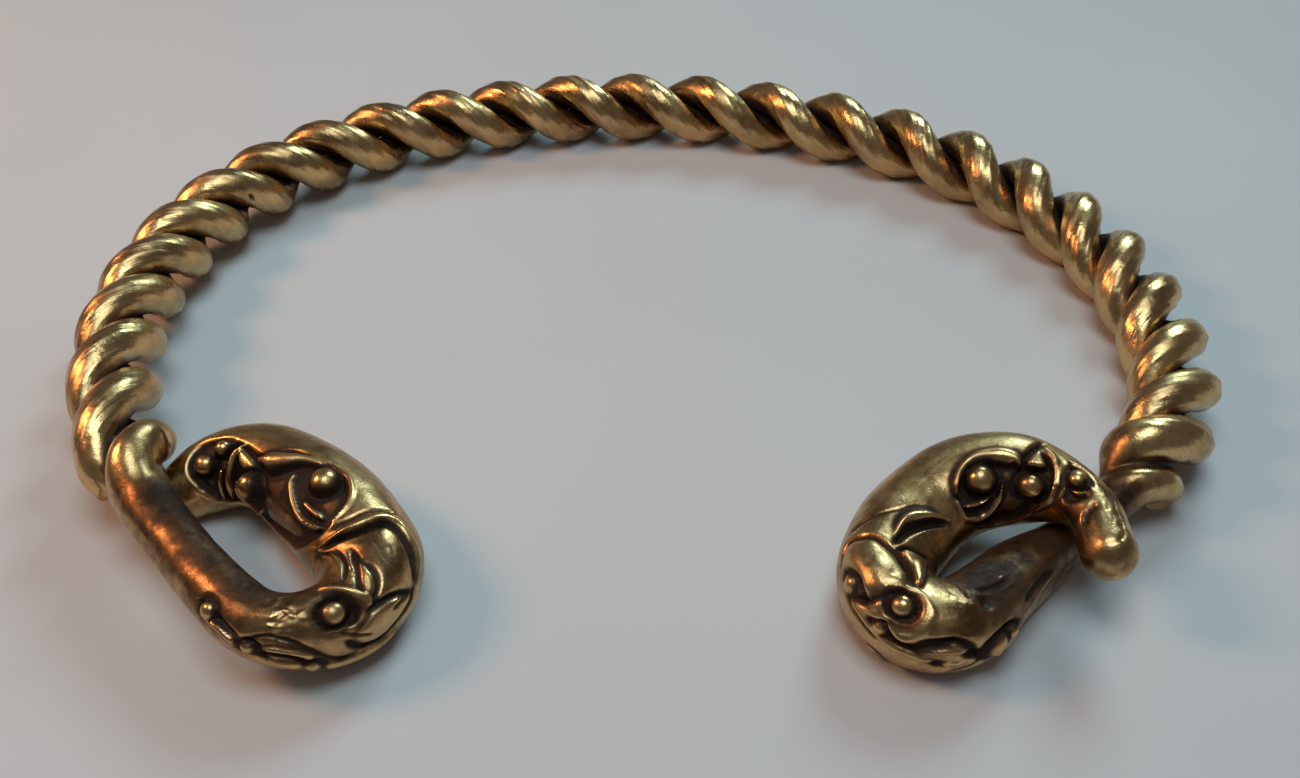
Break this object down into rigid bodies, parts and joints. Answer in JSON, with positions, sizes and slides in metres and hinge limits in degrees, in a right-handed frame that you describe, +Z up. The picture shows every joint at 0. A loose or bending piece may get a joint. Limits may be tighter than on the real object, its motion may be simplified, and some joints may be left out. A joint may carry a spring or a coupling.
{
  "type": "gold torc",
  "caption": "Open neck ring of two stout gold rods twisted together, with a cast loop terminal in raised curving ornament at each end.",
  "frame": {"origin": "under the middle of the torc's box, on the surface it lies on", "axes": "+Z up out of that surface, +Y to the back of the ring, the opening toward -Y, +X to the terminal whose end crosses over its neck"},
  "size_m": [0.1937, 0.1622, 0.0181],
  "materials": {
    "rod_gold": "hammered, worn bright, with brown tarnish between the rods",
    "cast_gold": "cast, rubbed bright on the raised parts, dark brown in the hollows"
  },
  "bodies": {
    "root": {"rod_a": "rod_gold", "rod_b": "rod_gold", "terminal_left": "cast_gold", "terminal_right": "cast_gold"}
  },
  "joints": []
}
